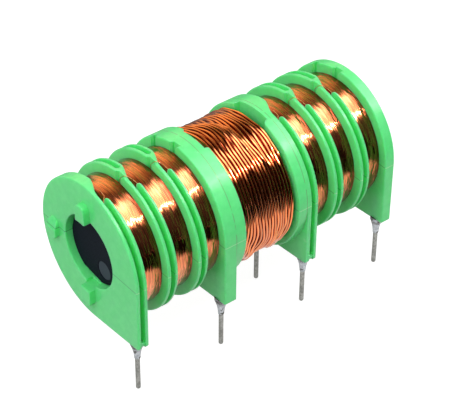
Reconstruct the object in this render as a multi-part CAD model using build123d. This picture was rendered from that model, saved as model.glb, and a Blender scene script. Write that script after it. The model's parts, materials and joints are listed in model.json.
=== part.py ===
"""Ignition transformer: a ferrite rod in a sectional bobbin, with a split fine-wire secondary and a primary.

The shape is drawn about the rod: X runs along it from the front end face, the row of pins is on the -Y side
and +Z is up. On export everything moves so that the origin lies on the axis of pin 1, where its solder collar
ends and the circuit board begins. Lengths are in millimetres and angles in degrees.

Angles round the rod start at the near side (-Y) and turn over the top, so 90 is the top of a flange.
"""

import os
from math import atan2, cos, degrees, radians, sin, sqrt

from build123d import *

# Bobbin, across the rod
flange_radius = 12.5
bore_radius = 6.25
tube_wall = 1.25
foot_rise = 0.9
foot_rounding = 0.45
rim_rounding = 0.22

# Bobbin, along the rod
front_plates = (0.55, 0.6)
back_plates = (0.7, 0.6)
thin_plate = 0.5
groove_width = 0.9
front_chambers = (3.9, 3.9, 3.3)
back_chambers = (3.45, 3.65, 3.55)
primary_width = 10.7
foot_plate = 2.2
front_disc = 2.0
back_disc = 1.8
last_flange = 1.9

# Windows and wire grooves in the flanges
groove_depth = 1.55
window_below_winding = 1.6
fin_tip = -2.85
fin_taper = 6.3
fin_thickness = 0.3
fin_nose = 1.6
corner_roll = 0.9
sweep_start = -2.4
sweep_end = 2.2
groove_end = 0.85
eye_bar_inset = 0.2
eye_bar_thickness = 0.55
eye_bar_lift = 0.35
eye_bar_height = 0.7

# Wire channels and pockets in the faces of the flanges, each from its near side to its far side
channel = (-0.8, 0.3)
channel_depth = 0.45
lead_channel = (0.1, 1.2)
spare_channel = (5.1, 6.1)
lead_channel_depth = 0.6
channel_rounding = 0.3
primary_channel = (0.1, 0.9)
pocket_floor_below_rim = 3.4
front_pocket = (-2.8, 2.45)
front_pocket_depth = 0.75
front_pocket_ends = (0.4, 1.7)
back_pocket = (-2.8, 4.05)
back_pocket_depth = 1.0
back_pocket_ends = (0.7, 0.15)

# Lugs and keyway on the front end face
mouth_rounding = 0.2
lug_width = 2.4
lug_height = 1.15
top_lug_length = 3.4
top_lug_shift = 0.3
top_lug_overhang = 0.3
bottom_lug_length = 3.3
bottom_lug_shift = -0.2
lug_rounding = 1.05
lug_edge_rounding = 0.2
side_lug_height = 0.95
side_lug_length = 3.65
side_lug_place = (9.0, -0.6)
side_lug_parting = -0.4
side_lug_step = 0.12
keyway_beyond_bore = 0.4
keyway_depth = 1.3

# Ferrite rod
rod_clearance = 0.1
rod_recess = 1.2
rod_flat_depth = 0.75
rod_turn = 8
rod_chamfer = 0.25
spot_radius = 1.65
spot_depth = 0.1
spot_place = (-2.35, -2.8)

# Windings
secondary_below_rim = 1.7
secondary_crown = 0.12
secondary_wire = 0.08
primary_below_rim = 0.45
primary_wire = 0.5
primary_turns = 19
ridge_height = 0.2
ridge_slope = 0.3
wire_clearance = 0.03
wire_bend = 0.3
lead_start = 0.4
lead_rise = 1.5

# Pins and their solder
pin_diameter = 0.8
pin_below_foot = 10.0
pin_embed = 4.0
pin_root_side = 0.84
pin_root_rounding = 0.1
pin_root_above_board = 1.0
pin_inset = 2.1
rear_pin_row = -1.3
solder_radius = 1.1
solder_waist = 0.64
solder_film = 0.1
solder_height = 3.2
solder_bite = 0.3

# Sizes that follow from the ones above
foot_drop = flange_radius - foot_rise
tube_radius = bore_radius + tube_wall
groove_floor = flange_radius - groove_depth
secondary_radius = flange_radius - secondary_below_rim
primary_radius = flange_radius - primary_below_rim
thin_flange = 2 * thin_plate + groove_width
front_flange = sum(front_plates) + groove_width
back_foot = sum(back_plates) + groove_width
window_floor = secondary_radius - window_below_winding
pocket_floor = flange_radius - pocket_floor_below_rim
pin_radius = pin_diameter / 2
pin_row = -(flange_radius - pin_inset)
pin_end = -foot_drop - pin_below_foot
reach = 2 * flange_radius
overcut = 0.5


def places(start, widths):
    """Where each piece of a row starts, and where the row ends."""
    row = [start]
    for width in widths:
        row.append(row[-1] + width)
    return row


front_row = places(0, [front_flange, front_chambers[0], thin_flange, front_chambers[1],
                       thin_flange, front_chambers[2], foot_plate, front_disc])
back_row = places(front_row[-1] + primary_width,
                  [back_disc, back_foot, back_chambers[0], thin_flange,
                   back_chambers[1], thin_flange, back_chambers[2], last_flange])
front_foot_start = front_row[6]
primary_start = front_row[8]
primary_end = back_row[0]
back_foot_start = back_row[1]
last_flange_start = back_row[7]
bobbin_length = back_row[8]
thin_starts = [front_row[2], front_row[4], back_row[3], back_row[5]]
chambers = [(row[i], row[i + 1]) for row, first in ((front_row, 1), (back_row, 2))
            for i in (first, first + 2, first + 4)]

pin_places = [
    (front_flange / 2 + 0.2, pin_row),
    (front_foot_start + foot_plate / 2 - 0.25, pin_row),
    (back_foot_start + back_foot / 2 + 0.15, pin_row),
    (last_flange_start + last_flange / 2 - 0.1, pin_row),
    (primary_end + back_disc / 2 - 0.15, rear_pin_row),
]


def on_circle(radius, angle):
    """Y and Z at this radius and angle round the rod."""
    return (-radius * cos(radians(angle)), radius * sin(radians(angle)))


foot_touch = on_circle(flange_radius, -2 * degrees(atan2(foot_drop, flange_radius)))


def foot_under(y):
    """Height of a foot's underside at y, on the line from the foot's corner that touches the round flange."""
    share = (y + flange_radius) / (foot_touch[0] + flange_radius)
    return -foot_drop + share * (foot_touch[1] + foot_drop)


board_level = foot_under(pin_row) - solder_height


def disc(x, width, radius):
    """Disc round the rod that starts at x."""
    return Pos(x, 0, 0) * extrude(Plane.YZ * Circle(radius), amount=width)


def footed_disc(x, width):
    """Disc whose near side drops straight to a foot, with the foot's underside touching the circle."""
    near = (-flange_radius, 0)
    corner = (-flange_radius, -foot_drop)
    with BuildSketch() as outline:
        with BuildLine():
            ThreePointArc(near, on_circle(flange_radius, 135), foot_touch)
            Line(foot_touch, corner)
            Line(corner, near)
        make_face()
        fillet(outline.vertices().sort_by_distance(Vertex(*corner))[0], foot_rounding)
    return Pos(x, 0, 0) * extrude(Plane.YZ * outline.sketch, amount=width)


def round_rims(flange, ends):
    """Rounds the rim of a flange where it meets its front face, its back face or both."""
    faces = flange.faces().sort_by(Axis.X)
    edges = [edge for end in ends for edge in faces[end].edges()]
    return fillet(edges, rim_rounding)


def slab(x_range, y_range, z_range):
    """Box between these ranges."""
    low = [min(pair) for pair in (x_range, y_range, z_range)]
    size = [abs(pair[1] - pair[0]) for pair in (x_range, y_range, z_range)]
    return Pos(*low) * Box(*size, align=(Align.MIN, Align.MIN, Align.MIN))


def upright(outline, low, high):
    """Prism between two heights over an outline drawn from above."""
    return Pos(0, 0, low) * extrude(outline, amount=high - low)


def window(x, near_plate, far_plate):
    """Cut that opens the far plate of a double flange at the top.

    Seen from above, the web between the plates sweeps from the near plate back out to the face of the flange
    beyond the window. Before the window, the far plate stops with its corner rolled over.
    """
    left = x + near_plate
    right = left + groove_width + far_plate
    swing = right - left
    run = sweep_end - sweep_start
    with BuildSketch() as outline:
        with BuildLine():
            Polyline((left, sweep_start), (left, fin_tip), (right + overcut, fin_tip),
                     (right + overcut, sweep_end), (right, sweep_end))
            Bezier((right, sweep_end), (left + 0.8 * swing, sweep_start + 0.46 * run),
                   (left + 0.07 * swing, sweep_start + 0.33 * run), (left, sweep_start))
        make_face()
    return upright(outline.sketch, window_floor, reach) + rolled_corner((left, right + overcut), fin_tip)


def rolled_corner(x_range, y):
    """Cut that rounds the corner between the rim and an upright edge at y, on the edge's near side."""
    centre = (y - corner_roll, sqrt(flange_radius**2 - (y - corner_roll) ** 2) - corner_roll)
    with BuildSketch() as outline:
        with Locations(centre):
            Rectangle(corner_roll, 2 * corner_roll, align=(Align.MIN, Align.MIN))
            Circle(corner_roll, mode=Mode.SUBTRACT)
    return Pos(x_range[0], 0, 0) * extrude(Plane.YZ * outline.sketch, amount=x_range[1] - x_range[0])


def fin_side(x, near_plate, far_plate):
    """Cut that thins the far plate towards the window, seen from above, down to a narrow fin."""
    left = x + near_plate + groove_width
    right = left + far_plate
    thin = left + fin_thickness
    with BuildSketch() as outline:
        with BuildLine():
            ThreePointArc((left, fin_tip), (left + 0.6 * fin_thickness, fin_tip - 0.4 * fin_nose),
                          (thin, fin_tip - fin_nose))
            Bezier((thin, fin_tip - fin_nose), (thin, fin_tip - 0.55 * fin_taper),
                   (right, fin_tip - 0.7 * fin_taper), (right, fin_tip - fin_taper))
            Polyline((right, fin_tip - fin_taper), (right + overcut, fin_tip - fin_taper),
                     (right + overcut, fin_tip), (left, fin_tip))
        make_face()
    deepest = sqrt(secondary_radius**2 - (fin_tip - fin_taper) ** 2)
    return upright(outline.sketch, deepest, reach)


def groove_round(x):
    """Groove in the rim of a thin flange, all round but for the web at the top."""
    ring = disc(x, groove_width, reach) - disc(x - overcut, groove_width + 2 * overcut, groove_floor)
    half = groove_width / 2
    with BuildSketch() as outline:
        with Locations((x + half, (sweep_start + groove_end + half) / 2)):
            Rectangle(groove_width + 2 * overcut, groove_end + half - sweep_start)
        with Locations((x + half, groove_end + half)):
            Circle(half, mode=Mode.SUBTRACT)
    return ring - upright(outline.sketch, 0, 2 * reach)


def groove_to_foot(x):
    """Groove down the near side of a footed flange, ending in a wire eye behind a small bar."""
    outer = -flange_radius + eye_bar_inset
    under = -foot_drop + eye_bar_lift
    run = slab((x, x + groove_width), (-reach, sweep_start), (-reach, reach))
    run -= disc(x - overcut, groove_width + 2 * overcut, groove_floor)
    run -= slab((x - overcut, x + groove_width + overcut), (-groove_floor, reach), (-reach, 0))
    run -= slab((x - overcut, x + groove_width + overcut), (outer, outer + eye_bar_thickness),
                (under, under + eye_bar_height))
    return run


def face_channel(x, sides, depth, heights):
    """Upright wire channel with a rounded far edge, sunk into the front face of a flange."""
    near, far = sides
    turn = min(channel_rounding, 0.9 * depth)
    with BuildSketch() as outline:
        with BuildLine():
            Polyline((x + turn, far), (x + depth, far), (x + depth, near), (x - overcut, near),
                     (x - overcut, far + turn), (x, far + turn))
            RadiusArc((x, far + turn), (x + turn, far), turn)
        make_face()
    return upright(outline.sketch, *heights)


def top_channel(x, sides, depth):
    """Channel from the tube up past the rim, with the rim rolled over at its near edge."""
    rolled = rolled_corner((x - overcut, x + depth), sides[0])
    return face_channel(x, sides, depth, (tube_radius, reach)) + rolled


def pocket(x, sides, depth, ends, way):
    """Pocket in the top of a disc's face beside the primary. way is +1 or -1, from the face into the disc."""
    near, far = sides
    near_end, far_end = ends
    back = x + way * depth
    middle = x + 0.38 * way * depth
    front = x - way * overcut
    with BuildSketch() as outline:
        with BuildLine():
            Line((back, near), (back, far))
            ThreePointArc((back, far), (middle, far + 0.38 * far_end), (x, far + far_end))
            Polyline((x, far + far_end), (front, far + far_end),
                     (front, near - near_end), (x, near - near_end))
            ThreePointArc((x, near - near_end), (middle, near - 0.38 * near_end), (back, near))
        make_face()
    return upright(outline.sketch, pocket_floor, reach)


def flare(x, way):
    """Ring that cuts a rounded mouth into the bore's end at x. way is +1 or -1, into the part."""
    far = x + way * mouth_rounding
    wide = bore_radius + mouth_rounding
    with BuildSketch(Plane.XZ) as profile:
        with BuildLine():
            Line((x, wide), (x - way * overcut, wide))
            Polyline((x - way * overcut, wide), (x - way * overcut, 0), (far, 0), (far, bore_radius))
            ThreePointArc((far, bore_radius),
                          (x + 0.293 * way * mouth_rounding, bore_radius + 0.293 * mouth_rounding), (x, wide))
        make_face()
    return revolve(profile.sketch, Axis.X)


def lug(centre, length, height, flat_end):
    """Lug on the front end face. flat_end is +1 or -1 for a flat upper or lower end, 0 for none."""
    with BuildSketch() as outline:
        with Locations(centre):
            Rectangle(lug_width, length)
        corners = [v for v in outline.vertices() if (v.Y - centre[1]) * flat_end <= 0]
        fillet(corners, lug_rounding)
    body = Pos(-height, 0, 0) * extrude(Plane.YZ * outline.sketch, amount=height)
    return fillet(body.faces().sort_by(Axis.X)[0].edges(), lug_edge_rounding)


def side_lug():
    """Lug at the far side of the bore. Above the mould's parting it steps down and rounds off to the face."""
    top = side_lug_place[1] + side_lug_length / 2
    face = -side_lug_height + side_lug_step
    with BuildSketch(Plane.XZ) as outline:
        with BuildLine():
            ThreePointArc((face, side_lug_parting), (0.8 * face, 0.5 * (side_lug_parting + top)), (0, top))
            Polyline((0, top), (-reach, top), (-reach, side_lug_parting), (face, side_lug_parting))
        make_face()
    above = Pos(0, reach, 0) * extrude(outline.sketch, amount=2 * reach)
    return lug(side_lug_place, side_lug_length, side_lug_height, 0) - above


def lugs():
    """The lugs above, below and at the far side of the bore."""
    keyway_floor = bore_radius + keyway_beyond_bore
    top_middle = bore_radius - top_lug_overhang + top_lug_length / 2
    body = lug((top_lug_shift, top_middle), top_lug_length, lug_height, -1)
    body += lug((bottom_lug_shift, -keyway_floor - bottom_lug_length / 2), bottom_lug_length, lug_height, 1)
    return body + side_lug()


def pin(place):
    """Round pin with a domed tip, and a squared root that can't turn in the moulding."""
    dome = pin_end + pin_radius
    root_start = board_level + pin_root_above_board
    top = -foot_drop + pin_embed
    square = RectangleRounded(pin_root_side, pin_root_side, pin_root_rounding)
    root = Pos(0, 0, root_start) * extrude(square, amount=top - root_start)
    shank = Pos(0, 0, dome) * (extrude(Circle(pin_radius), amount=root_start - dome) + Sphere(pin_radius))
    return Pos(*place, 0) * (shank + root)


def wire_run(points, diameter, bends):
    """Round wire along straight runs joined by bends."""
    path = FilletPolyline(*points, radius=bends)
    return sweep(Plane(origin=path @ 0, z_dir=path % 0) * Circle(diameter / 2), path=path)


def crossover(x):
    """Wire from the outside of one chamber, over the next flange and down its channel to the tube."""
    radius = secondary_wire / 2
    on_winding = secondary_radius + secondary_crown + radius + wire_clearance
    over_rim = flange_radius + radius + wire_clearance
    middle = sum(channel) / 2
    in_channel = x + channel_depth / 2
    points = [
        (x + thin_flange + 0.5, *on_circle(on_winding, 64)),
        (x + thin_flange + 0.2, *on_circle(on_winding + 0.15, 74)),
        (x + thin_flange - 0.5, *on_circle(over_rim - 0.6, 79.5)),
        (x + thin_plate + 0.2, *on_circle(over_rim + 0.05, 82)),
        (in_channel, channel[0] - 0.5, over_rim),
        (in_channel, middle, over_rim - 4 * wire_bend),
        (in_channel, middle, tube_radius + radius + wire_clearance),
    ]
    return wire_run(points, secondary_wire, [0.7, 0.6, 0.5, 0.3, 0.25])


def groove_lead(x, plates, place):
    """Lead from the outside of a chamber, through the window and down the groove to a pin in the near row."""
    radius = secondary_wire / 2
    ride = groove_floor + radius + wire_clearance
    on_winding = secondary_radius + secondary_crown + radius + wire_clearance
    middle = x + plates[0] + groove_width / 2
    face = x + sum(plates) + groove_width
    pin_x, pin_y = place
    beside_pin = pin_y - pin_root_side / 2 - radius - wire_clearance
    under_foot = -foot_drop - solder_bite
    start = (middle, *on_circle(ride, 66))
    tangent = Vector(0, sin(radians(66)), cos(radians(66)))
    before = Vector(*start) + lead_rise * tangent
    with BuildLine() as path:
        lead_in = FilletPolyline((face + lead_start, *on_circle(on_winding, 88)),
                                 (face + 0.6 * lead_start, *on_circle(on_winding, 81)),
                                 tuple(before), start, radius=[2.5 * wire_bend, 2 * wire_bend])
        ThreePointArc(lead_in @ 1, (middle, *on_circle(ride, 33)), (middle, -ride, 0))
        FilletPolyline((middle, -ride, 0), (middle, -ride, under_foot),
                       (pin_x, beside_pin, under_foot - solder_bite),
                       (pin_x, beside_pin, under_foot - 3 * solder_bite), radius=[wire_bend, 0.6 * wire_bend])
    wire = path.wire()
    return sweep(Plane(origin=wire @ 0, z_dir=wire % 0) * Circle(radius), path=wire)


def channel_lead(face, place):
    """Lead from the tube down a channel and along the underside of a foot to a pin in the near row."""
    radius = secondary_wire / 2
    x = face + lead_channel_depth / 2
    middle = sum(lead_channel) / 2
    pin_x, pin_y = place
    beside_pin = pin_y + pin_root_side / 2 + radius + wire_clearance
    below = -flange_radius - radius - wire_clearance
    points = [
        (x, middle, -tube_radius - radius - wire_clearance),
        (x, middle, below - wire_clearance),
        (x + 2 * radius, foot_touch[0], below),
        (pin_x, beside_pin + wire_bend, foot_under(beside_pin) - wire_bend),
        (pin_x, beside_pin, foot_under(beside_pin) - 3 * wire_bend),
    ]
    return wire_run(points, secondary_wire, [2 * wire_bend, wire_bend, wire_bend])


def primary_inner_lead(place):
    """Lead from the primary's inner end, down the channel in the back disc to the rear pin."""
    radius = primary_wire / 2
    x = primary_end + lead_channel_depth / 2
    middle = sum(primary_channel) / 2
    pin_x, pin_y = place
    beside_pin = pin_y + pin_root_side / 2 + radius + wire_clearance
    points = [
        (x, middle, -tube_radius - radius),
        (x, middle, -flange_radius - radius),
        (pin_x, beside_pin, -flange_radius - 3 * radius),
        (pin_x, beside_pin, -flange_radius - 6 * radius),
    ]
    return wire_run(points, primary_wire, [1.5 * radius, radius])


def primary_outer_lead(place):
    """Lead from the primary's outer end, under the front disc to the pin in the front foot."""
    radius = primary_wire / 2
    x = primary_start + radius + 2 * wire_clearance
    below = -flange_radius - radius - wire_clearance
    pin_x, pin_y = place
    beside_pin = pin_y + pin_root_side / 2 + radius + wire_clearance
    off_coil = on_circle(primary_radius + radius + wire_clearance, -106)
    behind_foot = front_foot_start + foot_plate + 2 * radius
    points = [
        (x, *off_coil),
        (x, off_coil[0] / 3, below - 2 * wire_clearance),
        (behind_foot, foot_touch[0] - 2 * wire_bend, below - wire_clearance),
        (pin_x + radius, beside_pin + 4 * wire_bend, below),
        (pin_x, beside_pin, below - 2 * wire_bend),
    ]
    return wire_run(points, primary_wire, [4 * wire_bend, 4 * wire_bend, 2 * wire_bend])


def solder_collar(place, underside, hollow_by):
    """Solder drawn down a pin in a hollow cone to the board, round the pin and the wire that ends there."""
    x, y = place
    top = underside + solder_bite
    shoulder = underside - solder_bite
    film = pin_radius + solder_film
    with BuildSketch(Plane.XZ) as profile:
        with BuildLine():
            Polyline((solder_radius, shoulder), (solder_radius, top), (0, top), (0, board_level),
                     (film, board_level))
            ThreePointArc((film, board_level), (solder_waist, 0.6 * board_level + 0.4 * underside),
                          (solder_radius, shoulder))
        make_face()
    collar = Pos(x, y, 0) * revolve(profile.sketch, Axis.Z)
    for solid in hollow_by:
        collar -= solid
    return collar.solids().sort_by(SortBy.VOLUME)[-1]


def secondary(start, end):
    """Fine-wire coil that fills a chamber, slightly crowned."""
    edge = secondary_radius
    with BuildSketch(Plane.XZ) as profile:
        with BuildLine():
            Polyline((start, edge), (start, tube_radius), (end, tube_radius), (end, edge))
            ThreePointArc((end, edge), ((start + end) / 2, edge + secondary_crown), (start, edge))
        make_face()
    return revolve(profile.sketch, Axis.X)


def primary():
    """Thick-wire coil whose outer layer shows every turn, each as a ridge with a flat crest."""
    pitch = primary_width / primary_turns
    valley = primary_radius - ridge_height
    outline = [(primary_start, tube_radius)]
    for turn in range(primary_turns):
        left = primary_start + turn * pitch
        outline += [(left, valley), (left + ridge_slope * pitch, primary_radius),
                    (left + (1 - ridge_slope) * pitch, primary_radius)]
    outline += [(primary_end, valley), (primary_end, tube_radius)]
    return revolve(Plane.XZ * make_face(Polyline(*outline, close=True)), Axis.X)


def ferrite_core():
    """Ferrite rod with a flat along its underside, turned a little in the bore, and a ground spot in each end."""
    length = bobbin_length - 2 * rod_recess
    radius = bore_radius - rod_clearance
    rod = disc(rod_recess, length, radius)
    rod = chamfer(rod.edges().filter_by(GeomType.CIRCLE), rod_chamfer)
    below_flat = slab((-reach, bobbin_length + reach), (-reach, reach), (-reach, rod_flat_depth - radius))
    rod -= Rot(rod_turn, 0, 0) * below_flat
    for x in (rod_recess, rod_recess + length - spot_depth):
        rod -= Pos(0, *spot_place) * disc(x, spot_depth, spot_radius)
    return rod


def bobbin(pins):
    """The one-piece moulding: tube, eight flanges, grooves, windows, channels, pockets and lugs."""
    body = disc(0, bobbin_length, tube_radius)
    body += round_rims(footed_disc(0, front_flange), (0, -1))
    body += round_rims(footed_disc(front_foot_start, foot_plate), (0,))
    body += round_rims(disc(front_foot_start + foot_plate, front_disc, flange_radius), (-1,))
    body += round_rims(disc(primary_end, back_disc, flange_radius), (0,))
    body += round_rims(footed_disc(back_foot_start, back_foot), (-1,))
    body += round_rims(footed_disc(last_flange_start, last_flange), (0, -1))
    for x in thin_starts:
        body += round_rims(disc(x, thin_flange, flange_radius), (0, -1))
    for x in thin_starts:
        body -= groove_round(x + thin_plate)
        body -= window(x, thin_plate, thin_plate)
        body -= fin_side(x, thin_plate, thin_plate)
        body -= top_channel(x, channel, channel_depth)
    for x, plates in ((0, front_plates), (back_foot_start, back_plates)):
        body -= groove_to_foot(x + plates[0])
        body -= window(x, *plates)
        body -= fin_side(x, *plates)
    for x in (front_foot_start, last_flange_start):
        body -= top_channel(x, lead_channel, lead_channel_depth)
        body -= face_channel(x, spare_channel, lead_channel_depth, (tube_radius, reach))
        body -= face_channel(x, lead_channel, lead_channel_depth, (-reach, -tube_radius))
    body -= face_channel(primary_end, primary_channel, lead_channel_depth, (-reach, -tube_radius))
    body -= pocket(primary_start, front_pocket, front_pocket_depth, front_pocket_ends, -1)
    body -= pocket(primary_end, back_pocket, back_pocket_depth, back_pocket_ends, 1)
    body -= flare(0, 1)
    body -= flare(bobbin_length, -1)
    body += lugs()
    body -= disc(-reach, bobbin_length + 2 * reach, bore_radius)
    keyway_floor = bore_radius + keyway_beyond_bore
    keyway_sides = (bottom_lug_shift - lug_width / 2, bottom_lug_shift + lug_width / 2)
    body -= slab((-lug_height, keyway_depth), keyway_sides, (-keyway_floor, 0))
    for each in pins:
        body -= each
    return body


def build():
    """All pieces by name, in the frame of the rod."""
    pins = [pin(place) for place in pin_places]
    body = bobbin(pins)
    leads = {
        "secondary_lead_1": groove_lead(0, front_plates, pin_places[0]),
        "secondary_lead_2": channel_lead(front_foot_start, pin_places[1]),
        "secondary_lead_3": groove_lead(back_foot_start, back_plates, pin_places[2]),
        "secondary_lead_4": channel_lead(last_flange_start, pin_places[3]),
        "primary_lead_1": primary_inner_lead(pin_places[4]),
        "primary_lead_2": primary_outer_lead(pin_places[1]),
    }
    pieces = {"bobbin": body, "ferrite_core": ferrite_core(), "primary_winding": primary()}
    for number, (start, end) in enumerate(chambers, 1):
        pieces[f"secondary_winding_{number}"] = secondary(start, end)
    for number, x in enumerate(thin_starts, 1):
        pieces[f"crossover_wire_{number}"] = crossover(x)
    pieces.update(leads)
    for number, (place, one_pin) in enumerate(zip(pin_places, pins), 1):
        underside = foot_under(place[1]) if place[1] == pin_row else -flange_radius
        pieces[f"pin_{number}"] = one_pin
        pieces[f"solder_joint_{number}"] = solder_collar(place, underside, [body, one_pin, *leads.values()])
    return pieces


os.makedirs("parts", exist_ok=True)
to_board = Pos(-pin_places[0][0], -pin_places[0][1], -board_level)
for name, piece in build().items():
    export_step(to_board * piece, f"parts/{name}.step")
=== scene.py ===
"""Ignition transformer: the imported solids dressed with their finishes, its coils wound wire by wire.

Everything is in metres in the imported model's frame: X runs along the ferrite rod, the near row of pins
stands at Y = 0 and Z = 0 is the board's upper face. Angles round the rod start at the near side (-Y) and
turn over the top.
"""

import json
import math

import bpy
import numpy as np
from mathutils import Matrix, Vector


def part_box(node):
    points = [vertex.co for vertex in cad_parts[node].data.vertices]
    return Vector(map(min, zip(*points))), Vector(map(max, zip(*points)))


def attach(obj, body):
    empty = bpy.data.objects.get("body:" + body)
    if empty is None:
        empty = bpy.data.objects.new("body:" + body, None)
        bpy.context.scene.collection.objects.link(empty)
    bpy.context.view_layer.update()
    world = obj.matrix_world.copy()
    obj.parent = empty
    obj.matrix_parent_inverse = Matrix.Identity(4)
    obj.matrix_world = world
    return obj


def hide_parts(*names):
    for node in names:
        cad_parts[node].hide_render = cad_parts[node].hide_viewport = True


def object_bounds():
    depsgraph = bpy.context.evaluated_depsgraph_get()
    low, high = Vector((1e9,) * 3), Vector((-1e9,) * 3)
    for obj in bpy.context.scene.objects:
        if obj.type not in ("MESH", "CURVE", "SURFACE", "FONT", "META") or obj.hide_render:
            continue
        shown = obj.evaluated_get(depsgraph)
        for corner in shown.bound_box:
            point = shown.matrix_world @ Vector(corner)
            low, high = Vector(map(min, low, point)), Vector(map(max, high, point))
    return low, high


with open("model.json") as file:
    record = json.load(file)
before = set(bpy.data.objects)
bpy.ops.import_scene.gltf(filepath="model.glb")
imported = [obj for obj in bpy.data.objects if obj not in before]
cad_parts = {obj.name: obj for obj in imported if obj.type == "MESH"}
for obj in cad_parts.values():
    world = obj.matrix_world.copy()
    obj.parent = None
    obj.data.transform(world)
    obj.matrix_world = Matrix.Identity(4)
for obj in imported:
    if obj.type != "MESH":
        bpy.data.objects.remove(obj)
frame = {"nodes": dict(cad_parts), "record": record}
cad_box = [list(corner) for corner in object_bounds()]
nodes = frame["nodes"]
scene = bpy.context.scene

MM = 0.001

# The thick wire, a bundle of the fine wires, and the tube that the coils are wound on
PRIMARY_WIRE = 0.5 * MM
FINE_WIRE = 0.2 * MM
TUBE_RADIUS = 7.5 * MM

# The rod's axis, which is also the coils'
coil_low, coil_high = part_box("primary_winding")
ROD_Y = (coil_low.y + coil_high.y) / 2
ROD_Z = (coil_low.z + coil_high.z) / 2

# The ground spot on the rod's ends: its centre from the axis, along Y and along Z, and its radius
SPOT_PLACE = (-2.35 * MM, -2.8 * MM)
SPOT_RADIUS = 1.65 * MM

# The flanges' rims, and the rings that the mould left on the two rims beside the thick coil
FLANGE_RADIUS = 12.5 * MM
FRONT_WITNESS = coil_low.x - 2.0 * MM
BACK_WITNESS = coil_high.x + 1.62 * MM

# The height at which the solder meets the bobbin's feet
SOLDER_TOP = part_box("solder_joint_1")[1].z


# Meshes


def add_piece(name, points, faces, material, replaced, marks):
    """Makes a smooth-shaded piece that rides the body and stands for the named solids.

    The marks are values for each point, which the material reads by their labels.
    """
    mesh = bpy.data.meshes.new(name)
    mesh.from_pydata(points.reshape(-1, 3).tolist(), [], faces)
    mesh.shade_smooth()
    mesh.materials.append(material)
    for label, values in marks.items():
        mark = mesh.attributes.new(label, "FLOAT", "POINT")
        mark.data.foreach_set("value", values.ravel().astype(np.float32))
    piece = bpy.data.objects.new(name, mesh)
    scene.collection.objects.link(piece)
    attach(piece, "root")
    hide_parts(*replaced)


def grid_faces(rows, columns, wrap_rows, wrap_columns):
    """Quads that join each point of a grid to its next row and column, round to the start where it wraps."""
    row = np.arange(rows if wrap_rows else rows - 1)[:, None]
    column = np.arange(columns if wrap_columns else columns - 1)[None, :]
    next_row = (row + 1) % rows
    next_column = (column + 1) % columns
    corners = [(row, column), (row, next_column), (next_row, next_column), (next_row, column)]
    return np.stack([down * columns + along for down, along in corners], -1).reshape(-1, 4)


def round_rod(x, radius, angle):
    """Points at x along the rod, at a radius from its axis and an angle from the near side over the top."""
    return np.stack([x + 0 * angle, ROD_Y - radius * np.cos(angle), ROD_Z + radius * np.sin(angle)], -1)


def wander(angle, turn, seed, waves, drift):
    """Smooth random wave round the rod, of size about 1.

    It is a sum of sines, divided by the square root of their number. Each has a whole number of waves round
    the rod, from the range given, and a phase that moves on by up to the drift, in radians, from one turn to
    the next.
    """
    pick = np.random.default_rng(seed)
    total = 0 * angle * turn
    for wave in range(*waves):
        slip = pick.uniform(-drift, drift)
        phase = pick.uniform(0, 2 * np.pi)
        total = total + np.sin(wave * angle + slip * turn + phase)
    return total / (waves[1] - waves[0]) ** 0.5


def hump(angle, degrees, width):
    """Smooth hump of height 1 round an angle given in degrees.

    It is e to the power of minus the square of the distance from that angle, measured in widths. The width
    is in radians.
    """
    return np.exp(-(((angle - np.radians(degrees)) / width) ** 2))


def tube_along(path, radius, sides, first):
    """Tube round a path: a circle in the plane across the path at each point, with a flat cap at both ends.

    Across the path, one direction points away from the rod and the other is at right angles to it. The
    tube's points are numbered on from the first. Its crest is 1 on the side away from the rod and -1 towards
    it.
    """
    ahead = np.gradient(path, axis=0)
    ahead /= np.linalg.norm(ahead, axis=1, keepdims=True)
    outward = path - np.array([0, ROD_Y, ROD_Z])
    outward[:, 0] = 0
    outward -= (outward * ahead).sum(1, keepdims=True) * ahead
    outward /= np.linalg.norm(outward, axis=1, keepdims=True)
    across = np.cross(ahead, outward)
    corner = np.arange(sides)
    turn = corner * 2 * np.pi / sides
    ring = np.cos(turn)[None, :, None] * outward[:, None] + np.sin(turn)[None, :, None] * across[:, None]
    points = path[:, None] + radius * ring
    walls = first + grid_faces(len(path), sides, wrap_rows=False, wrap_columns=True)[:, ::-1]
    last_ring = first + (len(path) - 1) * sides
    caps = [(first + corner).tolist(), (last_ring + corner[::-1]).tolist()]
    crest = np.tile(np.cos(turn), len(path))
    return points.reshape(-1, 3), walls.tolist() + caps, crest


# Finishes

# Places of the Mix node's colour sockets, which share their names with others
MIX_INPUTS = (6, 7)
MIX_OUTPUT = 2


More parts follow.
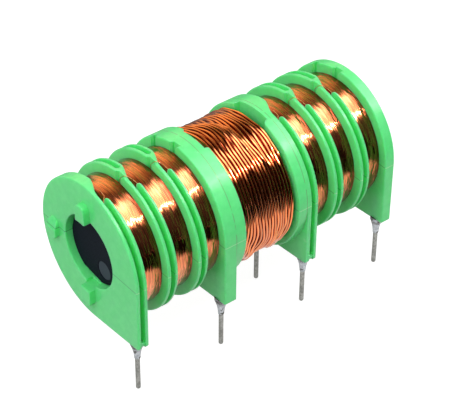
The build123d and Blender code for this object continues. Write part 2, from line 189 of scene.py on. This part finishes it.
class Wiring:
    """Adds nodes to a tree and joins them. A value is a socket, or a plain number or colour."""

    def __init__(self, tree):
        self.tree = tree

    def node(self, kind, **settings):
        """New node with these settings."""
        made = self.tree.nodes.new(kind)
        for key, value in settings.items():
            setattr(made, key, value)
        return made

    def link(self, source, target):
        """Joins two sockets."""
        self.tree.links.new(source, target)

    def feed(self, value, socket):
        """Links a socket, or sets a plain value."""
        if isinstance(value, bpy.types.NodeSocket):
            self.link(value, socket)
        else:
            socket.default_value = value

    def math(self, operation, a, b=0.0):
        """Result of a math operation on one or two values."""
        made = self.node("ShaderNodeMath", operation=operation)
        self.feed(a, made.inputs[0])
        self.feed(b, made.inputs[1])
        return made.outputs[0]

    def mix(self, factor, a, b):
        """Colour between a and b."""
        made = self.node("ShaderNodeMix", data_type="RGBA")
        self.feed(factor, made.inputs["Factor"])
        self.feed(a, made.inputs[MIX_INPUTS[0]])
        self.feed(b, made.inputs[MIX_INPUTS[1]])
        return made.outputs[MIX_OUTPUT]

    def noise(self, point, scale, detail, roughness=0.5):
        """Value of a noise texture at a point. The scale is about its number of lumps to the metre."""
        made = self.node("ShaderNodeTexNoise")
        self.link(point, made.inputs["Vector"])
        made.inputs["Scale"].default_value = scale
        made.inputs["Detail"].default_value = detail
        made.inputs["Roughness"].default_value = roughness
        return made.outputs["Fac"]

    def ramp(self, value, low, high, to_low=0.0, to_high=1.0):
        """Value carried smoothly from one range to another, held at its ends."""
        made = self.node("ShaderNodeMapRange", interpolation_type="SMOOTHSTEP")
        for socket, number in zip(made.inputs, (value, low, high, to_low, to_high)):
            self.feed(number, socket)
        return made.outputs[0]

    def line(self, value, centre, half_width):
        """1 up to four tenths of half a width from a centre, fading to 0 at half a width from it."""
        away = self.math("ABSOLUTE", self.math("SUBTRACT", value, centre))
        return self.ramp(away, half_width * 0.4, half_width, 1.0, 0.0)

    def off_axis(self, y, z, axis_y, axis_z):
        """Distance from an axis along the rod: the root of the sum of the squares across and above."""
        aside = self.math("SUBTRACT", y, axis_y)
        above = self.math("SUBTRACT", z, axis_z)
        squares = self.math("ADD", self.math("MULTIPLY", aside, aside), self.math("MULTIPLY", above, above))
        return self.math("SQRT", squares)

    def point(self):
        """Place of a point on the piece."""
        return self.node("ShaderNodeTexCoord").outputs["Object"]

    def split(self, point):
        """X, Y and Z of a point."""
        made = self.node("ShaderNodeSeparateXYZ")
        self.link(point, made.inputs[0])
        return made.outputs

    def group(self, tree, **values):
        """Result of a shared group, used with these values."""
        made = self.node("ShaderNodeGroup", node_tree=tree)
        for key, value in values.items():
            self.feed(value, made.inputs[key])
        return made.outputs[0]


def new_group(name, inputs, outputs):
    """Empty shader group with these inputs, each with its plain value, and these outputs."""
    group = bpy.data.node_groups.new(name, "ShaderNodeTree")
    for label, kind, value in inputs:
        socket = group.interface.new_socket(label, in_out="INPUT", socket_type=f"NodeSocket{kind}")
        socket.default_value = value
    for label, kind in outputs:
        group.interface.new_socket(label, in_out="OUTPUT", socket_type=f"NodeSocket{kind}")
    return group, Wiring(group)


def soft_edge_group():
    """Normal that is rounded over at edges and carries a fine bump."""
    inputs = [("Rounding", "Float", 0.1 * MM), ("Height", "Float", 0.0), ("Distance", "Float", 0.02 * MM)]
    group, w = new_group("soft_edge", inputs, [("Normal", "Vector")])
    inside = w.node("NodeGroupInput")
    bevel = w.node("ShaderNodeBevel", samples=6)
    w.link(inside.outputs["Rounding"], bevel.inputs["Radius"])
    bump = w.node("ShaderNodeBump")
    w.link(inside.outputs["Height"], bump.inputs["Height"])
    w.link(inside.outputs["Distance"], bump.inputs["Distance"])
    w.link(bevel.outputs[0], bump.inputs["Normal"])
    w.link(bump.outputs[0], w.node("NodeGroupOutput").inputs[0])
    return group


def crease_shade_group():
    """Mask that is 1 in narrow recesses and 0 on open surfaces, which the materials use to paint shade
    there.
    """
    inputs = [("Reach", "Float", 2 * MM), ("Strength", "Float", 1.0)]
    group, w = new_group("crease_shade", inputs, [("Mask", "Float")])
    inside = w.node("NodeGroupInput")
    hidden = w.node("ShaderNodeAmbientOcclusion", samples=8)
    w.link(inside.outputs["Reach"], hidden.inputs["Distance"])
    covered = w.math("SUBTRACT", 1.0, hidden.outputs["AO"])
    strong = w.math("MULTIPLY", covered, inside.outputs["Strength"])
    w.link(w.ramp(strong, 0.0, 1.0), w.node("NodeGroupOutput").inputs[0])
    return group


SOFT_EDGE = soft_edge_group()
CREASE_SHADE = crease_shade_group()


def new_material(name, roughness, metallic=0.0, **settings):
    """Material with a Principled shader whose plain values are set on its own sockets."""
    material = bpy.data.materials.new(name)
    material.use_nodes = True
    shader = material.node_tree.nodes["Principled BSDF"]
    shader.inputs["Roughness"].default_value = roughness
    shader.inputs["Metallic"].default_value = metallic
    for key, value in settings.items():
        shader.inputs[key.replace("_", " ")].default_value = value
    return material, shader, Wiring(material.node_tree)


def green_moulding():
    """Green moulded plastic: painted shade of deeper green in grooves, faint mottling, pale scuffs and lines
    of the mould.

    The parting line lies at the height of the rod's axis, pale on the flanges' rims and dark elsewhere. Two
    of the rims also have a broken dark ring.
    """
    green = (0.135, 0.83, 0.265, 1)
    light_green = (0.16, 0.87, 0.295, 1)
    painted_groove_shade = (0.08, 0.84, 0.19, 1)
    dark_parting = (0.05, 0.36, 0.12, 1)
    pale_parting = (0.5, 0.9, 0.5, 1)
    ring_green = (0.2, 0.32, 0.13, 1)
    scuffed_green = (0.4, 0.9, 0.5, 1)
    material, shader, w = new_material(
        "green_moulding", 0.4, IOR=1.42,
        Subsurface_Weight=0.7, Subsurface_Scale=1.6 * MM, Subsurface_Radius=(0.3, 1.0, 0.4))
    point = w.point()
    x, y, z = w.split(point)
    mottle = w.noise(point, 700.0, detail=4.0, roughness=0.6)
    open_green = w.mix(w.ramp(mottle, 0.35, 0.7), green, light_green)
    # Painted shade: recesses turn a deeper, more saturated green
    crease_shade = w.group(CREASE_SHADE, Reach=2.2 * MM, Strength=0.4)
    colour = w.mix(crease_shade, open_green, painted_groove_shade)
    on_rim = w.line(w.off_axis(y, z, ROD_Y, ROD_Z), FLANGE_RADIUS, 0.3 * MM)
    parting = w.line(z, ROD_Z, 0.1 * MM)
    colour = w.mix(w.math("MULTIPLY", parting, 0.7), colour, w.mix(on_rim, dark_parting, pale_parting))
    rings = w.math("MAXIMUM", w.line(x, FRONT_WITNESS, 0.09 * MM), w.line(x, BACK_WITNESS, 0.09 * MM))
    unbroken = w.ramp(w.noise(point, 900.0, detail=1.0), 0.3, 0.45)
    rings = w.math("MULTIPLY", w.math("MULTIPLY", rings, unbroken), on_rim)
    colour = w.mix(w.math("MULTIPLY", rings, 0.6), colour, ring_green)
    scuffs = w.ramp(w.noise(point, 420.0, detail=4.0, roughness=0.7), 0.66, 0.72, 0.0, 0.35)
    w.link(w.mix(scuffs, colour, scuffed_green), shader.inputs["Base Color"])
    grain = w.math("MULTIPLY", w.noise(point, 5200.0, detail=3.0, roughness=0.6), 0.35)
    height = w.math("SUBTRACT", grain, w.math("MAXIMUM", parting, rings))
    normal = w.group(SOFT_EDGE, Rounding=0.14 * MM, Height=height, Distance=0.012 * MM)
    w.link(normal, shader.inputs["Normal"])
    w.link(w.ramp(w.noise(point, 1500.0, detail=3.0), 0.3, 0.75, 0.28, 0.4), shader.inputs["Roughness"])
    return material


def copper_wire(name, tint, painted_gap_shade, roughness):
    """Copper under clear enamel, a little different from wire to wire, with painted shade on the wires'
    sides towards the rod, between the wires and in recesses.

    A piece's marks say how far out a point lies on its wire and how light that wire is. A piece without
    marks has the darker colour of that painted shade all over.
    """
    darkest_share = 0.45
    material, shader, w = new_material(
        name, roughness, 1.0, Coat_Weight=0.45, Coat_Roughness=0.05, Coat_IOR=1.45)
    crest = w.node("ShaderNodeAttribute", attribute_name="crest").outputs["Fac"]
    shade = w.node("ShaderNodeAttribute", attribute_name="shade").outputs["Fac"]
    darkest = (*(darkest_share * level for level in tint[:3]), 1)
    # Painted shade: a wire's sides towards the rod and the valleys between wires take the darker colour
    wire = w.mix(w.ramp(crest, 0.0, 0.9), painted_gap_shade, w.mix(shade, darkest, tint))
    # Painted shade: recesses take that darker colour too
    crease_shade = w.group(CREASE_SHADE, Reach=0.6 * MM, Strength=1.0)
    w.link(w.mix(crease_shade, wire, painted_gap_shade), shader.inputs["Base Color"])
    return material


def ferrite():
    """Dark grey sintered ferrite with a faint speckle, lighter in the ground spot on its ends."""
    near_black = (0.006, 0.009, 0.016, 1)
    dark_grey = (0.017, 0.022, 0.034, 1)
    ground_grey = (0.056, 0.072, 0.09, 1)
    material, shader, w = new_material("ferrite", 0.6, Specular_IOR_Level=0.04)
    point = w.point()
    place = w.split(point)
    speckle = w.noise(point, 6000.0, detail=3.0, roughness=0.7)
    sintered = w.mix(w.ramp(speckle, 0.45, 0.75), near_black, dark_grey)
    from_spot = w.off_axis(place["Y"], place["Z"], ROD_Y + SPOT_PLACE[0], ROD_Z + SPOT_PLACE[1])
    ground = w.ramp(from_spot, SPOT_RADIUS - 0.12 * MM, SPOT_RADIUS, 1.0, 0.0)
    w.link(w.mix(ground, sintered, ground_grey), shader.inputs["Base Color"])
    normal = w.group(SOFT_EDGE, Rounding=0.08 * MM, Height=speckle, Distance=0.01 * MM)
    w.link(normal, shader.inputs["Normal"])
    return material


def tinned_wire():
    """Dull tinned pin in lighter and darker patches."""
    dull_tin = (0.19, 0.19, 0.175, 1)
    bright_tin = (0.38, 0.38, 0.355, 1)
    material, shader, w = new_material("tinned_wire", 0.36, 0.85)
    patches = w.noise(w.point(), 1800.0, detail=4.0, roughness=0.6)
    w.link(w.mix(w.ramp(patches, 0.35, 0.7), dull_tin, bright_tin), shader.inputs["Base Color"])
    w.link(w.ramp(patches, 0.3, 0.7, 0.3, 0.5), shader.inputs["Roughness"])
    normal = w.group(SOFT_EDGE, Rounding=0.04 * MM, Height=patches, Distance=0.01 * MM)
    w.link(normal, shader.inputs["Normal"])
    return material


def solder():
    """Grey solder, uneven and lightly pitted, with dark specks of flux, more of them under the feet."""
    dull_solder = (0.32, 0.34, 0.36, 1)
    bright_solder = (0.58, 0.6, 0.63, 1)
    burnt_flux = (0.06, 0.055, 0.045, 1)
    material, shader, w = new_material("solder", 0.33, 0.8)
    point = w.point()
    lumps = w.noise(point, 1500.0, detail=3.0, roughness=0.6)
    specks = w.ramp(w.noise(point, 1100.0, detail=3.0, roughness=0.6), 0.53, 0.6)
    under_foot = w.ramp(w.split(point)["Z"], SOLDER_TOP - 1.8 * MM, SOLDER_TOP - 0.8 * MM)
    more_specks = w.math("MULTIPLY", under_foot, w.ramp(lumps, 0.42, 0.52, 0.0, 0.8))
    metal = w.mix(w.ramp(lumps, 0.35, 0.7), dull_solder, bright_solder)
    w.link(w.mix(w.math("MAXIMUM", specks, more_specks), metal, burnt_flux), shader.inputs["Base Color"])
    w.link(w.ramp(lumps, 0.3, 0.7, 0.25, 0.5), shader.inputs["Roughness"])
    normal = w.group(SOFT_EDGE, Rounding=0.1 * MM, Height=lumps, Distance=0.12 * MM)
    w.link(normal, shader.inputs["Normal"])
    return material


# The second colour is painted shade between the wires; for the fine leads it is their own colour
thick_copper = copper_wire(
    "thick_copper", tint=(0.74, 0.215, 0.065, 1), painted_gap_shade=(0.36, 0.035, 0.008, 1), roughness=0.12)
fine_copper = copper_wire(
    "fine_copper", tint=(1.0, 0.34, 0.12, 1), painted_gap_shade=(0.3, 0.03, 0.008, 1), roughness=0.12)
fine_lead = copper_wire(
    "fine_lead", tint=(0.7, 0.33, 0.15, 1), painted_gap_shade=(0.7, 0.33, 0.15, 1), roughness=0.45)
finishes = {
    "bobbin_plastic": green_moulding(),
    "ferrite": ferrite(),
    "primary_copper": thick_copper,
    "secondary_copper": fine_copper,
    "pin_tin": tinned_wire(),
    "solder": solder(),
}
for part in frame["record"]["subparts"]:
    slot = part["material_slot"]
    loose = slot == "secondary_copper" and not part["node"].startswith("secondary_winding")
    solid = nodes[part["node"]].data
    solid.materials.clear()
    solid.materials.append(fine_lead if loose else finishes[slot])


# Coils

# Points round the rod in one turn of a coil, rows of them to each ridge, and sides of the thick wire
FINE_STATIONS = 288
RIDGE_ROWS = 4
THICK_STATIONS = 180
WIRE_SIDES = 10

# The fine coils: how far the dish's middle lies below the solid, the heights and the sway that are added to
# it, how much painted shade darkens the ridges beside the flanges, and how light the wires are
DISH_DEPTH = 0.2 * MM
DISH_RISE = 0.12 * MM
SWELL_HEIGHT = 0.02 * MM
OWN_HEIGHT = 0.016 * MM
RIDGE_HEIGHT = 0.014 * MM
FINE_SWAY = 0.16 * MM
PAINTED_FLANGE_SHADE = 0.8
FINE_SHADE = 0.66
FINE_SHADE_SPREAD = 0.42

# The thick coil: a turn starts so many degrees below the near side. The turns lie calm round a place above
# that side and spread round a place below it. Both widths are in radians.
TURN_START = 100
CALM_PLACE = TURN_START + 22
CALM_WIDTH = 0.55
CALM_SHARE = 0.75
SPREAD_PLACE = TURN_START - 45
SPREAD_WIDTH = 0.5
SPREAD_GAIN = 1.6
HIGHEST_RISE = 0.4 * MM
KINK_HEIGHT = 0.045 * MM
THICK_SHADE = 0.8
THICK_SHADE_SPREAD = 0.3


def fine_coil(number):
    """Fine-wire coil in one chamber.

    Along the rod the surface has one ridge, a raised cosine, for each bundle of wires. The ridges lie on a
    dish that rises to the flanges with the square of the distance from the chamber's middle. Round the rod
    each ridge rises and falls by itself, groups of them heap up in low swells, and all of them wander
    sideways. The inside is a plain tube.
    """
    low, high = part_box(f"secondary_winding_{number}")
    width = high.x - low.x
    outer = (high.z - low.z) / 2
    turns = round(width / FINE_WIRE)
    along = np.linspace(0, 1, RIDGE_ROWS * turns + 1)[:, None]
    angle = np.linspace(0, 2 * np.pi, FINE_STATIONS, endpoint=False)[None, :]
    wire = np.round(along * turns)
    dish = (2 * along - 1) ** 2
    swell = wander(angle, along * 6, seed=40 + number, waves=(2, 7), drift=3.0)
    own = wander(angle, wire, seed=10 + number, waves=(9, 30), drift=40.0)
    ridge = 0.5 + 0.5 * np.cos(2 * np.pi * along * turns)
    radius = (outer - DISH_DEPTH + DISH_RISE * dish + SWELL_HEIGHT * swell + OWN_HEIGHT * own
              + RIDGE_HEIGHT * ridge)
    free = 1 - (2 * along - 1) ** 4
    sideways = FINE_SWAY * free * wander(angle, along * 5, seed=70 + number, waves=(1, 6), drift=2.0)
    x = low.x + along * width + sideways
    outside = round_rod(x, radius, angle + 0 * x)
    inside = [round_rod(edge.x + 0 * angle, TUBE_RADIUS + 0 * angle, angle) for edge in (high, low)]
    points = np.concatenate([outside] + inside)
    faces = grid_faces(len(points), FINE_STATIONS, wrap_rows=True, wrap_columns=True)[:, ::-1].tolist()
    # The crest mark also carries painted shade, low in the valleys between ridges and lower still beside the
    # flanges
    crest = ridge * (1 - PAINTED_FLANGE_SHADE * dish) + 0 * angle
    tone = wander(angle, wire, seed=100 + number, waves=(2, 10), drift=40.0)
    shade = np.clip(FINE_SHADE + FINE_SHADE_SPREAD * tone, 0, 1)
    unmarked = np.zeros((len(inside), FINE_STATIONS))
    marks = {"crest": np.concatenate([crest, unmarked]), "shade": np.concatenate([shade, unmarked])}
    add_piece(f"fine_coil_{number}", points, faces, fine_copper,
              (f"secondary_winding_{number}",), marks)


def end_to_end(turns):
    """Joins the turns' rows into one. A row's last point is the next row's first, so it is left out."""
    return np.concatenate([turns[:, :-1].ravel(), turns[-1:, -1]])


def wound_layer(turns, radius, seed, sway, settled):
    """Centre line of one layer of thick wire, and its shade at each point.

    The wire moves along the rod by one pitch a turn and sways sideways. Where it comes closer than its own
    thickness to a turn already laid, it climbs onto that turn: its rise over it and the distance between
    them make a right triangle whose long side is the wire's thickness. The rises are then averaged under a
    bell 20 degrees wide and held smoothly below the highest rise. A little above the near side the turns lie
    calm and rise at least by the settled height, and below it they spread more. Every turn has small kinks
    of its own on top of that.
    """
    low, high = coil_low.x, coil_high.x
    angle = np.linspace(0, 2 * np.pi, THICK_STATIONS + 1)
    turn = np.arange(turns)[:, None] + angle[None, :] / (2 * np.pi)
    pitch = (high - low - PRIMARY_WIRE) / turns
    calm = hump(angle, CALM_PLACE, CALM_WIDTH)
    spread = 1 + SPREAD_GAIN * hump(angle, SPREAD_PLACE, SPREAD_WIDTH)
    free = (1 - CALM_SHARE * calm) * spread * (1 - (2 * turn / turns - 1) ** 4)
    drifting = wander(angle[None, :], turn, seed, waves=(2, 9), drift=1.5)
    x = low + PRIMARY_WIRE / 2 + pitch * turn + sway * free * drifting
    x = np.clip(x, low + PRIMARY_WIRE / 2, high - PRIMARY_WIRE / 2)
    rise = np.zeros_like(x)
    for later in range(1, turns):
        apart = np.abs(x[:later] - x[later])
        over = rise[:later] + np.sqrt(np.clip(PRIMARY_WIRE**2 - apart**2, 0, None))
        rise[later] = np.where(apart < PRIMARY_WIRE, over, 0).max(0)
    x, rise = end_to_end(x), end_to_end(rise)
    half_bell = 5
    bell = np.hanning(2 * half_bell + 1)
    rise = np.convolve(np.pad(rise, half_bell, mode="edge"), bell / bell.sum(), mode="valid")
    rise = HIGHEST_RISE * np.tanh(rise / HIGHEST_RISE)
    total = np.linspace(0, turns * 2 * np.pi, x.size)
    angle, turn = total % (2 * np.pi), total // (2 * np.pi)
    rise = np.maximum(rise, settled * hump(angle, CALM_PLACE, CALM_WIDTH))
    kinks = KINK_HEIGHT * wander(angle, turn, seed + 50, waves=(7, 22), drift=40.0)
    place = np.linspace(0, turns, x.size)
    tone = wander(2 * np.pi * place, place, seed + 20, waves=(1, 4), drift=3.0)
    shade = THICK_SHADE + THICK_SHADE_SPREAD * tone
    return round_rod(x, radius + rise + kinks, total - np.radians(TURN_START)), shade


def thick_coil():
    """Thick-wire coil: an even inner layer, and an outer one whose turns bunch and climb over each other."""
    outer = (coil_high.z - coil_low.z) / 2 - PRIMARY_WIRE / 2
    layers = [
        wound_layer(turns=20, radius=outer - 0.8 * MM, seed=3, sway=0.02 * MM, settled=0.2 * MM),
        wound_layer(turns=17, radius=outer - 0.42 * MM, seed=15, sway=0.34 * MM, settled=0.22 * MM),
    ]
    points, faces, crests, shades = [], [], [], []
    for path, shade in layers:
        first = sum(map(len, points))
        tube, tube_faces, crest = tube_along(path, PRIMARY_WIRE / 2, WIRE_SIDES, first)
        points.append(tube)
        faces += tube_faces
        crests.append(crest)
        shades.append(np.repeat(shade, WIRE_SIDES))
    marks = {"crest": np.concatenate(crests), "shade": np.concatenate(shades)}
    add_piece("thick_coil", np.concatenate(points), faces, thick_copper,
              ("primary_winding",), marks)


for chamber in range(1, 7):
    fine_coil(chamber)
thick_coil()


# Studio


def camera_at(place, azimuth, elevation, roll, lens):
    """Camera at a place, with its angles in radians.

    Azimuth 0 looks along +Y, elevation is above the horizon and roll turns the picture.
    """
    ahead = Vector((math.sin(azimuth) * math.cos(elevation), math.cos(azimuth) * math.cos(elevation),
                    -math.sin(elevation)))
    right = Vector((math.cos(azimuth), -math.sin(azimuth), 0))
    up = right.cross(ahead)
    turned_right = right * math.cos(roll) + up * math.sin(roll)
    turned_up = up * math.cos(roll) - right * math.sin(roll)
    data = bpy.data.cameras.new("camera")
    data.sensor_width = 36
    data.lens = lens
    data.clip_start = 0.01
    data.clip_end = 10
    camera = bpy.data.objects.new("camera", data)
    scene.collection.objects.link(camera)
    axes = Matrix((turned_right, turned_up, -ahead)).transposed().to_4x4()
    camera.matrix_world = Matrix.Translation(place) @ axes
    scene.camera = camera


def softbox(name, away, target, size, power, glossy):
    """Area lamp that stands away from a target and faces it, with its first side along the rod.

    It either shows in gloss only, or lights surfaces and is hidden in gloss.
    """
    data = bpy.data.lights.new(name, "AREA")
    data.shape = "RECTANGLE"
    data.size, data.size_y = size
    data.energy = power
    lamp = bpy.data.objects.new(name, data)
    place = target + Vector(away)
    back = (place - target).normalized()
    side = (Vector((1, 0, 0)) - back.x * back).normalized()
    axes = Matrix((side, back.cross(side), back)).transposed().to_4x4()
    lamp.matrix_world = Matrix.Translation(place) @ axes
    lamp.visible_glossy = glossy
    lamp.visible_diffuse = not glossy
    scene.collection.objects.link(lamp)


def seen_ray(w):
    """1 for rays from the camera, from gloss and through glass, 0 for those that only gather light."""
    path = w.node("ShaderNodeLightPath")
    indirect = w.math("MAXIMUM", path.outputs["Is Glossy Ray"], path.outputs["Is Transmission Ray"])
    return w.math("MAXIMUM", path.outputs["Is Camera Ray"], indirect)


def white_surround():
    """World that lights evenly, and shows white to the camera and in reflections."""
    world = bpy.data.worlds.new("surround")
    world.use_nodes = True
    scene.world = world
    w = Wiring(world.node_tree)
    background = world.node_tree.nodes["Background"]
    lighting, shown = 0.62, 1.0
    w.link(w.ramp(seen_ray(w), 0.0, 1.0, lighting, shown), background.inputs["Strength"])
    background.inputs["Color"].default_value = (1, 1, 1, 1)


def white_floor(height):
    """Large floor under the pins' tips. It shows white and keeps the object's shadow.

    In reflections it is a sheet of white paper on a dark table. The sheet ends about 5 cm in front of the
    rod. Painted shadow makes it dimmer under the object, and dimmest behind it past the first pin.
    """
    corners = [(-2, -2, height), (2, -2, height), (2, 2, height), (-2, 2, height)]
    mesh = bpy.data.meshes.new("floor")
    mesh.from_pydata(corners, [], [(0, 1, 2, 3)])
    material, shader, w = new_material("white_floor", 0.9, Specular_IOR_Level=0.0)
    shader.inputs["Base Color"].default_value = (0.3, 0.3, 0.3, 1)
    shader.inputs["Emission Color"].default_value = (1, 1, 1, 1)
    w.link(w.math("MULTIPLY", seen_ray(w), 0.9), shader.inputs["Emission Strength"])
    place = w.split(w.point())
    sheet = w.ramp(place["Y"], ROD_Y - 56 * MM, ROD_Y - 41 * MM, 0.01, 1.45)
    # Painted shadow of the object on the paper, as seen in reflections
    under = w.ramp(place["Y"], ROD_Y - 20 * MM, ROD_Y - 8 * MM, 1.0, 0.7)
    past_rod = w.ramp(place["Y"], ROD_Y - 5 * MM, ROD_Y + 10 * MM)
    behind = w.math("MULTIPLY", past_rod, w.ramp(place["X"], 0.0, 12 * MM, 0.3, 1.0))
    painted_shadow = w.math("MULTIPLY", under, w.math("SUBTRACT", 1.0, w.math("MULTIPLY", behind, 0.8)))
    paper = w.node("ShaderNodeEmission")
    w.link(w.math("MULTIPLY", sheet, painted_shadow), paper.inputs["Strength"])
    either = w.node("ShaderNodeMixShader")
    w.link(w.node("ShaderNodeLightPath").outputs["Is Glossy Ray"], either.inputs[0])
    w.link(shader.outputs[0], either.inputs[1])
    w.link(paper.outputs[0], either.inputs[2])
    w.link(either.outputs[0], w.tree.nodes["Material Output"].inputs["Surface"])
    mesh.materials.append(material)
    floor = bpy.data.objects.new("floor", mesh)
    scene.collection.objects.link(floor)


def card(name, points, faces, material):
    """Studio cloth or card that shows only in reflections."""
    mesh = bpy.data.meshes.new(name)
    mesh.from_pydata(points, [], faces)
    mesh.materials.append(material)
    piece = bpy.data.objects.new(name, mesh)
    scene.collection.objects.link(piece)
    piece.visible_camera = False
    piece.visible_diffuse = False
    piece.visible_transmission = False
    piece.visible_volume_scatter = False
    piece.visible_shadow = False


def glowing(name):
    """Material that gives off light and nothing else, with its emission shader."""
    material = bpy.data.materials.new(name)
    material.use_nodes = True
    w = Wiring(material.node_tree)
    w.tree.nodes.remove(w.tree.nodes["Principled BSDF"])
    glow = w.node("ShaderNodeEmission")
    w.link(glow.outputs[0], w.tree.nodes["Material Output"].inputs["Surface"])
    return material, glow


def light_tent(middle):
    """Half tube of cloth along the rod.

    From the near horizon over the top to the far one it is dark, then bright like a large softbox, then dark
    again, and then a warm grey down to the far horizon. It fades to dark towards both ends, so the wires'
    sides stay dark.
    """
    radius = 0.7
    ends = np.array([-1.8, 2.2])
    brightness = 7.2
    bands = ((0, 0.008), (48, 0.012), (56, 0.45), (66, 0.5), (78, 0.65), (86, 1.0), (92, 1.0), (99, 0.4),
             (106, 0.03), (118, 0.04), (126, 0.08), (136, 0.17), (150, 0.24), (160, 0.26), (170, 0.2),
             (180, 0.16))
    turn = np.radians(np.linspace(0, 180, 61))
    x = ends[:, None] + 0 * turn[None, :]
    outline = [x, 0 * x - radius * np.cos(turn), 0 * x + radius * np.sin(turn)]
    points = np.stack(outline, -1) + np.array(middle)
    faces = grid_faces(ends.size, turn.size, wrap_rows=False, wrap_columns=False)
    cloth, glow = glowing("tent_cloth")
    w = Wiring(cloth.node_tree)
    x, y, z = w.split(w.point())
    around = w.math("ARCTAN2", w.math("SUBTRACT", z, middle.z), w.math("SUBTRACT", middle.y, y))
    dye = w.node("ShaderNodeValToRGB")
    while len(dye.color_ramp.elements) < len(bands):
        dye.color_ramp.elements.new(1.0)
    for stop, (degrees, level) in zip(dye.color_ramp.elements, bands):
        stop.position = degrees / 180
        warm = max(0, min(1, (degrees - 100) / 20))
        stop.color = (level, level * (1 - 0.22 * warm), level * (1 - 0.6 * warm), 1)
    w.link(w.math("DIVIDE", around, math.pi), dye.inputs[0])
    w.link(dye.outputs[0], glow.inputs["Color"])
    left = w.ramp(x, middle.x - 0.6, middle.x - 0.25)
    right = w.ramp(x, middle.x + 1.0, middle.x + 1.4, 1.0, 0.0)
    w.link(w.math("MULTIPLY", w.math("MULTIPLY", left, right), brightness), glow.inputs["Strength"])
    card("light_tent", points.reshape(-1, 3).tolist(), faces.tolist(), cloth)


def upright_card(name, x, y, z, material):
    """Flat card that stands across the rod's direction, between the two values given for Y and for Z."""
    corners = [(x, y[0], z[0]), (x, y[1], z[0]), (x, y[1], z[1]), (x, y[0], z[1])]
    card(name, corners, [(0, 1, 2, 3)], material)


def end_cards(middle, floor_height):
    """Low dark cards past both ends of the rod, which darken the wires' sides, and one slim paler strip."""
    black, glow = glowing("black_card")
    glow.inputs["Strength"].default_value = 0.01
    white, glow = glowing("white_strip")
    glow.inputs["Strength"].default_value = 0.25
    wide = (middle.y - 0.35, middle.y + 0.35)
    slim = (middle.y - 0.095, middle.y - 0.08)
    upright_card("left_card", middle.x - 0.15, wide, (floor_height, middle.z + 0.065), black)
    upright_card("right_card", middle.x + 0.15, wide, (floor_height, middle.z + 0.065), black)
    upright_card("white_strip", middle.x + 0.14, slim, (floor_height, middle.z + 0.06), white)


# The camera's place, angles and lens come from fitting the flanges' rims to the photograph
camera_at(Vector((-113.053, -161.78, 185.663)) * MM,
          azimuth=0.680015, elevation=0.665525, roll=0.009212, lens=137.27)
rod_middle = Vector(((cad_box[0][0] + cad_box[1][0]) / 2, ROD_Y, ROD_Z))
softbox("key", (0.28, -0.27, 0.44), rod_middle, size=(0.5, 0.05), power=1.15, glossy=False)
softbox("glint", (0.25, -0.234, 0.385), rod_middle, size=(0.5, 0.022), power=2.2, glossy=True)
softbox("front", (-0.33, -0.06, 0.37), rod_middle, size=(0.25, 0.25), power=0.98, glossy=False)
white_surround()
white_floor(cad_box[0][2])
light_tent(rod_middle)
end_cards(rod_middle, cad_box[0][2])
scene.view_settings.view_transform = "Standard"
